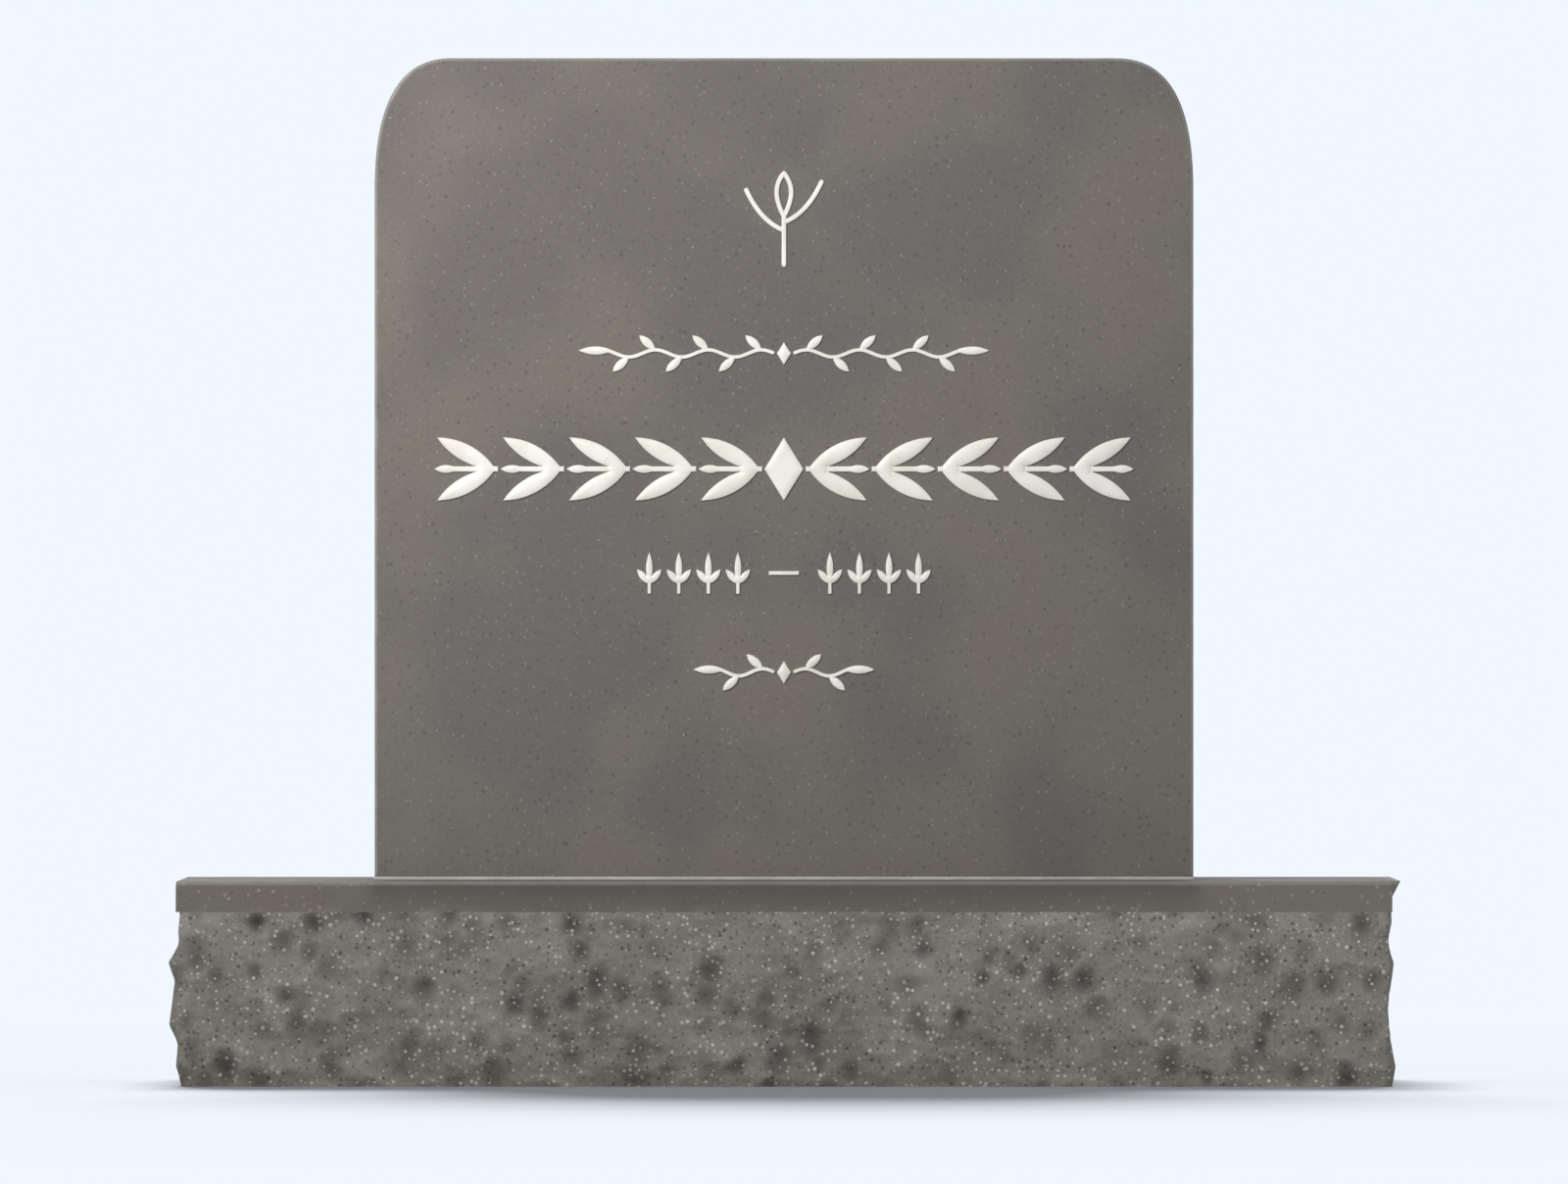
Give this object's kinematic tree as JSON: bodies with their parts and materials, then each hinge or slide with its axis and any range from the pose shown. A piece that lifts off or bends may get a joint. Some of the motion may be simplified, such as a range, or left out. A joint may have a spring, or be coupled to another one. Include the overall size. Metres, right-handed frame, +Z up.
{
  "type": "headstone",
  "caption": "Upright granite headstone: round-shouldered tablet bedded on a rock-faced base, with raised white plant ornament on the front.",
  "frame": {"origin": "middle of the underside of the base, on the ground", "axes": "+X to the right when facing the front, along the base; +Y to the back, the front facing -Y; +Z up"},
  "size_m": [0.9144, 0.3048, 0.7644],
  "materials": {
    "rock_faced_granite": "grey granite, rock pitched",
    "honed_granite": "warm grey granite, honed",
    "setting_compound": "pale grey setting compound, struck flush",
    "white_ornament": "off-white, satin"
  },
  "bodies": {
    "root": {"base": "rock_faced_granite", "setting_joint": "setting_compound", "tablet": "honed_granite", "sprout": "white_ornament", "upper_vine_left": "white_ornament", "upper_vine_boss": "white_ornament", "upper_vine_right": "white_ornament", "laurel_left_1": "white_ornament", "laurel_left_2": "white_ornament", "laurel_left_3": "white_ornament", "laurel_left_4": "white_ornament", "laurel_left_5": "white_ornament", "laurel_boss": "white_ornament", "laurel_right_1": "white_ornament", "laurel_right_2": "white_ornament", "laurel_right_3": "white_ornament", "laurel_right_4": "white_ornament", "laurel_right_5": "white_ornament", "bud_left_1": "white_ornament", "bud_left_2": "white_ornament", "bud_left_3": "white_ornament", "bud_left_4": "white_ornament", "dash": "white_ornament", "bud_right_1": "white_ornament", "bud_right_2": "white_ornament", "bud_right_3": "white_ornament", "bud_right_4": "white_ornament", "lower_vine_left": "white_ornament", "lower_vine_boss": "white_ornament", "lower_vine_right": "white_ornament"}
  },
  "joints": []
}
